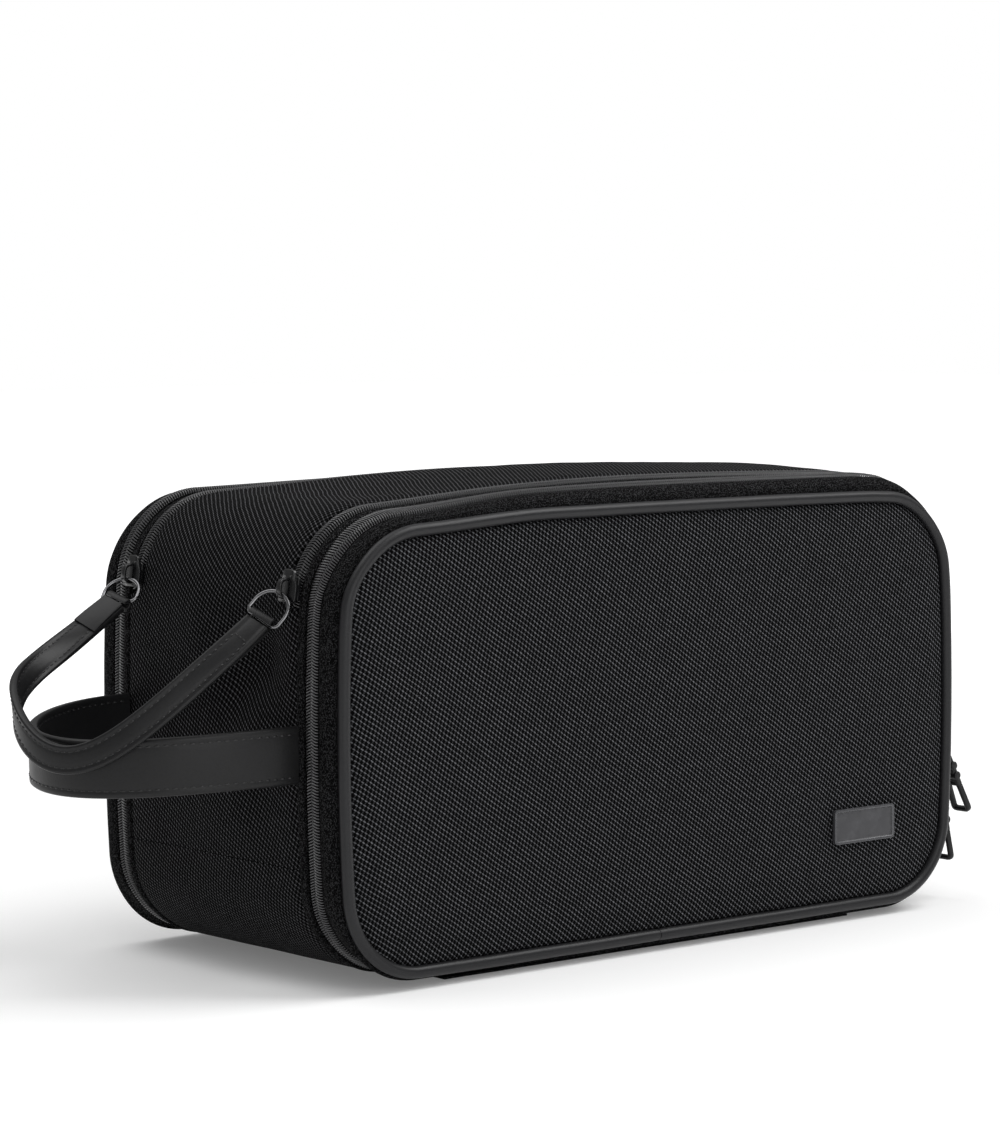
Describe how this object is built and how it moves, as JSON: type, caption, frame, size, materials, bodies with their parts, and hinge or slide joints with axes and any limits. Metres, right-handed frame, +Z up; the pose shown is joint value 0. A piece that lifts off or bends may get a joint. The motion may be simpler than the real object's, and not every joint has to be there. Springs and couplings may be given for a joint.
{
  "type": "toiletry bag",
  "caption": "Box shaped black zipped toiletry bag with padded opening front and rear panels, a top flap, a wrist strap and a side handle.",
  "frame": {"origin": "middle of the flat base, on the surface that the bag stands on", "axes": "+X along the bag's length towards the zip pulls, -X towards the strap and handle, -Y towards the front panel with the name plate, +Z up"},
  "size_m": [0.3499, 0.1293, 0.1539],
  "materials": {
    "shell_cloth": "coarse plain woven nylon, faint sheen",
    "band_cloth": "fine ribbed tape",
    "zip_coil": "satin nylon coil",
    "black_metal": "gloss black lacquer over cast zinc",
    "strap_skin": "smooth satin coated skin with stitching",
    "piping_skin": "smooth satin coated welt",
    "pull_rubber": "matte moulded rubber",
    "lining": "plain lining cloth",
    "plate_metal": "satin black plate with a polished rim"
  },
  "bodies": {
    "shell": {"base_panel": "shell_cloth", "left_end_panel": "shell_cloth", "right_end_panel": "shell_cloth", "front_gusset": "band_cloth", "rear_gusset": "band_cloth", "front_divider": "lining", "rear_divider": "lining", "front_hinge_strip": "band_cloth", "rear_hinge_strip": "band_cloth", "front_zip_body_half": "zip_coil", "rear_zip_body_half": "zip_coil", "main_zip_body_half": "zip_coil", "main_zip_parked_ends": "zip_coil", "side_handle": "strap_skin"},
    "front_lid": {"front_panel": "shell_cloth", "front_piping": "piping_skin", "front_lid_band": "band_cloth", "front_zip_lid_half": "zip_coil", "name_plate": "plate_metal"},
    "rear_lid": {"rear_panel": "shell_cloth", "rear_piping": "piping_skin", "rear_lid_band": "band_cloth", "rear_zip_lid_half": "zip_coil"},
    "top_flap": {"top_flap_panel": "shell_cloth", "main_zip_flap_half": "zip_coil"},
    "main_sliders": {"main_front_slider": "black_metal", "main_rear_slider": "black_metal"},
    "strap": {"front_ring": "black_metal", "rear_ring": "black_metal", "wrist_strap": "strap_skin"},
    "front_upper_zip_slider": {"front_upper_slider": "black_metal"},
    "front_upper_zip_pull": {"front_upper_pull": "pull_rubber"},
    "front_lower_zip_slider": {"front_lower_slider": "black_metal"},
    "front_lower_zip_pull": {"front_lower_pull": "pull_rubber"},
    "rear_upper_zip_slider": {"rear_upper_slider": "black_metal"},
    "rear_upper_zip_pull": {"rear_upper_pull": "pull_rubber"},
    "rear_lower_zip_slider": {"rear_lower_slider": "black_metal"},
    "rear_lower_zip_pull": {"rear_lower_pull": "pull_rubber"}
  },
  "joints": [
    {"name": "front_lid_hinge", "type": "hinge", "parent": "shell", "child": "front_lid", "pos_m": [0, -0.0622, 0.003], "axis": [1, 0, 0], "range_deg": [0, 90]},
    {"name": "rear_lid_hinge", "type": "hinge", "parent": "shell", "child": "rear_lid", "pos_m": [0, 0.0622, 0.003], "axis": [-1, 0, 0], "range_deg": [0, 90]},
    {"name": "top_flap_fold", "type": "hinge", "parent": "shell", "child": "top_flap", "pos_m": [-0.1318, 0, 0.1296], "axis": [0, -1, 0], "range_deg": [0, 100]},
    {"name": "main_zip_travel", "type": "hinge", "parent": "shell", "child": "main_sliders", "pos_m": [-0.10124, 0, 0.11786], "axis": [0, 1, 0], "range_deg": [0, 73]},
    {"name": "strap_swing", "type": "hinge", "parent": "main_sliders", "child": "strap", "pos_m": [-0.13472, 0, 0.12528], "axis": [0, 1, 0], "range_deg": [0, 100]},
    {"name": "front_upper_zip_travel", "type": "slide", "parent": "shell", "child": "front_upper_zip_slider", "axis": [0, 0, 1], "range_m": [0, 0.025]},
    {"name": "front_upper_pull_swing", "type": "hinge", "parent": "front_upper_zip_slider", "child": "front_upper_zip_pull", "pos_m": [0.13634, -0.0508, 0.0571], "axis": [0, -1, 0], "range_deg": [0, 110]},
    {"name": "front_lower_zip_travel", "type": "slide", "parent": "shell", "child": "front_lower_zip_slider", "axis": [0, 0, -1], "range_m": [0, 0.008]},
    {"name": "front_lower_pull_swing", "type": "hinge", "parent": "front_lower_zip_slider", "child": "front_lower_zip_pull", "pos_m": [0.13596, -0.0508, 0.0436], "axis": [0, -1, 0], "range_deg": [0, 20]},
    {"name": "rear_upper_zip_travel", "type": "slide", "parent": "shell", "child": "rear_upper_zip_slider", "axis": [0, 0, 1], "range_m": [0, 0.025]},
    {"name": "rear_upper_pull_swing", "type": "hinge", "parent": "rear_upper_zip_slider", "child": "rear_upper_zip_pull", "pos_m": [0.13634, 0.0508, 0.0571], "axis": [0, -1, 0], "range_deg": [0, 110]},
    {"name": "rear_lower_zip_travel", "type": "slide", "parent": "shell", "child": "rear_lower_zip_slider", "axis": [0, 0, -1], "range_m": [0, 0.008]},
    {"name": "rear_lower_pull_swing", "type": "hinge", "parent": "rear_lower_zip_slider", "child": "rear_lower_zip_pull", "pos_m": [0.13596, 0.0508, 0.0436], "axis": [0, -1, 0], "range_deg": [0, 20]}
  ]
}
